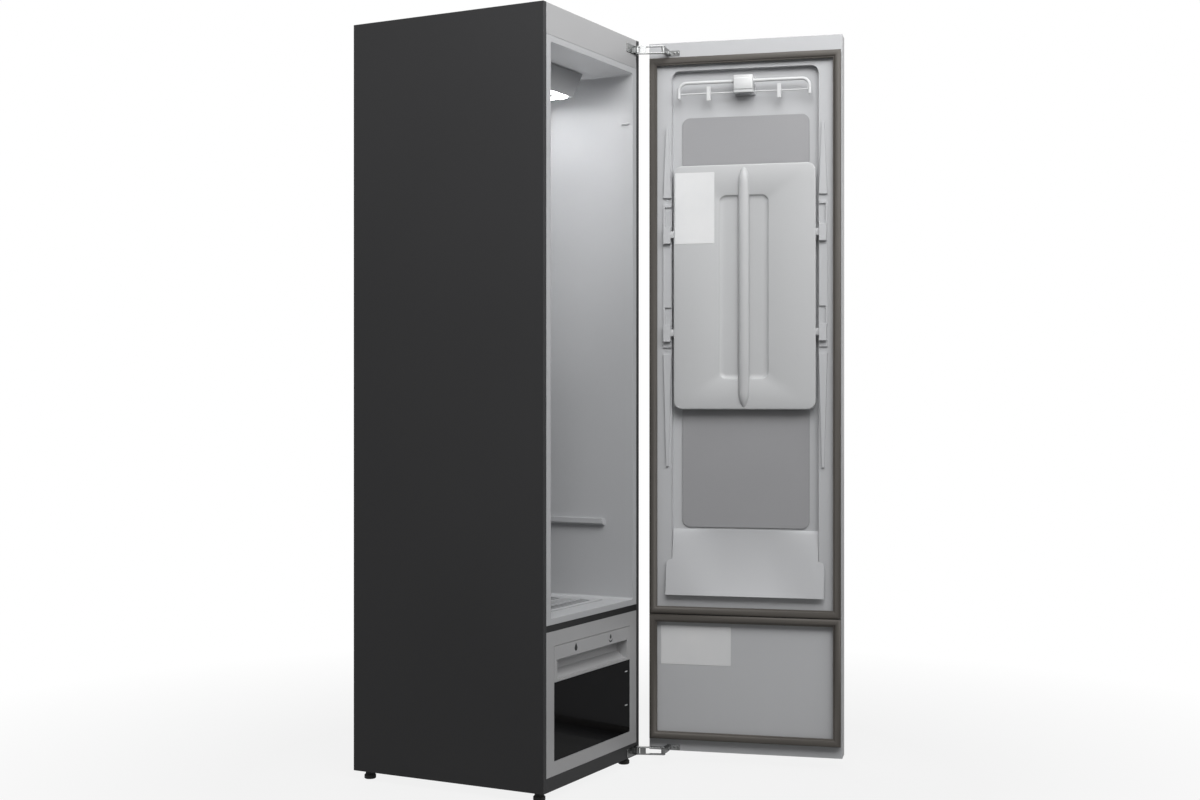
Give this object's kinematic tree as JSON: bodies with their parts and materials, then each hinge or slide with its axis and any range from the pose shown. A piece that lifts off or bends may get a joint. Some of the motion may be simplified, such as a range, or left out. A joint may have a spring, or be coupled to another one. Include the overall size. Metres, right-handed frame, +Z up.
{
  "type": "clothes care steam cabinet",
  "caption": "Tall steel cabinet that steams and dries hanging clothes; its door stands open and carries a trouser press, and a water tank drawer sits below the chamber.",
  "frame": {"origin": "on the floor, under the middle of the whole footprint with the door standing open", "axes": "+Z up, +Y from the cabinet's front towards its back, +X towards its right side and the door"},
  "size_m": [0.7056, 1.0276, 1.85],
  "materials": {
    "anthracite_steel": "matt anthracite paint",
    "grey_moulding": "satin light grey plastic",
    "liner_moulding": "satin pale grey plastic",
    "black_moulding": "satin black plastic",
    "black_window": "glossy black, see-through in strong light",
    "gasket_vinyl": "matt brown-grey seal",
    "white_moulding": "satin white plastic",
    "hinge_chrome": "bright plated steel",
    "galvanised_steel": "bare zinc-coated sheet",
    "coil_metal": "bare fins",
    "black_rubber": "matt black rubber",
    "light_guide": "opal, lit white",
    "tank_plastic": "smoky grey, clear",
    "circuit_tray": "green board in its tray",
    "foam": "rigid foam",
    "compressor_paint": "satin black paint"
  },
  "bodies": {
    "cabinet": {"side_panel_left": "anthracite_steel", "side_panel_right": "anthracite_steel", "top_panel": "anthracite_steel", "rear_panel": "anthracite_steel", "rear_service_cover": "anthracite_steel", "mains_gland": "black_rubber", "base_pan": "galvanised_steel", "plinth": "anthracite_steel", "front_header": "grey_moulding", "divider_band": "black_moulding", "lower_frame": "grey_moulding", "chamber_liner": "liner_moulding", "chamber_insulation": "foam", "intake_plenum": "black_moulding", "ceiling_housing": "liner_moulding", "led_ring": "light_guide", "hanger_motor": "galvanised_steel", "compressor": "compressor_paint", "evaporator": "coil_metal", "condenser": "coil_metal", "blower_housing": "black_moulding", "rear_duct": "black_moulding", "steam_generator": "coil_metal", "water_pump": "black_moulding", "control_board": "circuit_tray", "hinge_base_upper": "hinge_chrome", "hinge_base_lower": "hinge_chrome"},
    "long_links": {"hinge_long_link_upper": "hinge_chrome", "hinge_long_link_lower": "hinge_chrome"},
    "short_links": {"hinge_short_link_upper": "hinge_chrome", "hinge_short_link_lower": "hinge_chrome"},
    "door": {"hinge_door_plate_upper": "hinge_chrome", "hinge_door_plate_lower": "hinge_chrome", "door_outer_panel": "anthracite_steel", "door_frame": "grey_moulding", "door_core": "foam", "door_liner": "liner_moulding", "backing_board": "grey_moulding", "press_rail_hinge_side": "liner_moulding", "press_rail_free_side": "liner_moulding", "door_apron": "liner_moulding", "upper_gasket": "gasket_vinyl", "lower_gasket": "gasket_vinyl"},
    "press_cover": {"press_cover": "liner_moulding"},
    "trouser_hanger": {"trouser_hanger": "white_moulding"},
    "hinge_side_clip": {"hanger_clip_hinge_side": "white_moulding"},
    "free_side_clip": {"hanger_clip_free_side": "white_moulding"},
    "hanger_rail": {"hanger_rail": "white_moulding"},
    "lint_filter": {"floor_grille": "liner_moulding", "lint_filter": "grey_moulding"},
    "blower_wheel": {"blower_wheel": "black_moulding"},
    "tank_drawer": {"drawer_front": "grey_moulding", "drawer_window": "black_window", "drawer_box": "grey_moulding"},
    "supply_tank": {"supply_tank": "tank_plastic"},
    "drain_tank": {"drain_tank": "tank_plastic"},
    "foot_front_left": {"foot_front_left": "black_rubber"},
    "foot_front_right": {"foot_front_right": "black_rubber"},
    "foot_rear_left": {"foot_rear_left": "black_rubber"},
    "foot_rear_right": {"foot_rear_right": "black_rubber"}
  },
  "joints": [
    {"name": "door_swing", "type": "hinge", "parent": "cabinet", "child": "door", "pos_m": [0.15885, -0.0209, 1.823], "axis": [0, 0, 1], "range_deg": [-104.25, 0]},
    {"name": "long_link_turn", "type": "hinge", "parent": "cabinet", "child": "long_links", "pos_m": [0.11947, -0.02884, 1.823], "axis": [0, 0, 1], "range_deg": [-108.52, 0]},
    {"name": "short_link_turn", "type": "hinge", "parent": "long_links", "child": "short_links", "pos_m": [0.14493, -0.08915, 1.823], "axis": [0, 0, 1], "range_deg": [0, 108]},
    {"name": "press_cover_lift", "type": "slide", "parent": "door", "child": "press_cover", "axis": [0, 0, 1], "range_m": [0, 0.038]},
    {"name": "trouser_hanger_lift", "type": "slide", "parent": "door", "child": "trouser_hanger", "axis": [0, 0, 1], "range_m": [0, 0.02]},
    {"name": "hinge_side_clip_slide", "type": "slide", "parent": "trouser_hanger", "child": "hinge_side_clip", "axis": [-0.2462, 0.9692, 0], "range_m": [-0.03, 0.04]},
    {"name": "free_side_clip_slide", "type": "slide", "parent": "trouser_hanger", "child": "free_side_clip", "axis": [0.2462, -0.9692, 0], "range_m": [-0.03, 0.04]},
    {"name": "hanger_rail_shake", "type": "slide", "parent": "cabinet", "child": "hanger_rail", "axis": [1, 0, 0], "range_m": [-0.02, 0.02]},
    {"name": "lint_filter_lift", "type": "slide", "parent": "cabinet", "child": "lint_filter", "axis": [0, 0, 1], "range_m": [0, 0.06]},
    {"name": "blower_spin", "type": "hinge", "parent": "cabinet", "child": "blower_wheel", "pos_m": [-0.00033, 0.43076, 0.118], "axis": [0, 1, 0], "continuous": true},
    {"name": "tank_drawer_slide", "type": "slide", "parent": "cabinet", "child": "tank_drawer", "axis": [0, -1, 0], "range_m": [0, 0.225]},
    {"name": "supply_tank_lift", "type": "slide", "parent": "tank_drawer", "child": "supply_tank", "axis": [0, 0, 1], "range_m": [0, 0.024]},
    {"name": "drain_tank_lift", "type": "slide", "parent": "tank_drawer", "child": "drain_tank", "axis": [0, 0, 1], "range_m": [0, 0.024]},
    {"name": "foot_front_left_screw", "type": "slide", "parent": "cabinet", "child": "foot_front_left", "axis": [0, 0, -1], "range_m": [0, 0.012]},
    {"name": "foot_front_right_screw", "type": "slide", "parent": "cabinet", "child": "foot_front_right", "axis": [0, 0, -1], "range_m": [0, 0.012]},
    {"name": "foot_rear_left_screw", "type": "slide", "parent": "cabinet", "child": "foot_rear_left", "axis": [0, 0, -1], "range_m": [0, 0.012]},
    {"name": "foot_rear_right_screw", "type": "slide", "parent": "cabinet", "child": "foot_rear_right", "axis": [0, 0, -1], "range_m": [0, 0.012]}
  ],
  "couplings": [
    {"joint": "long_link_turn", "follows": "door_swing", "ratio": 1.0409},
    {"joint": "short_link_turn", "follows": "door_swing", "ratio": -1.036}
  ]
}
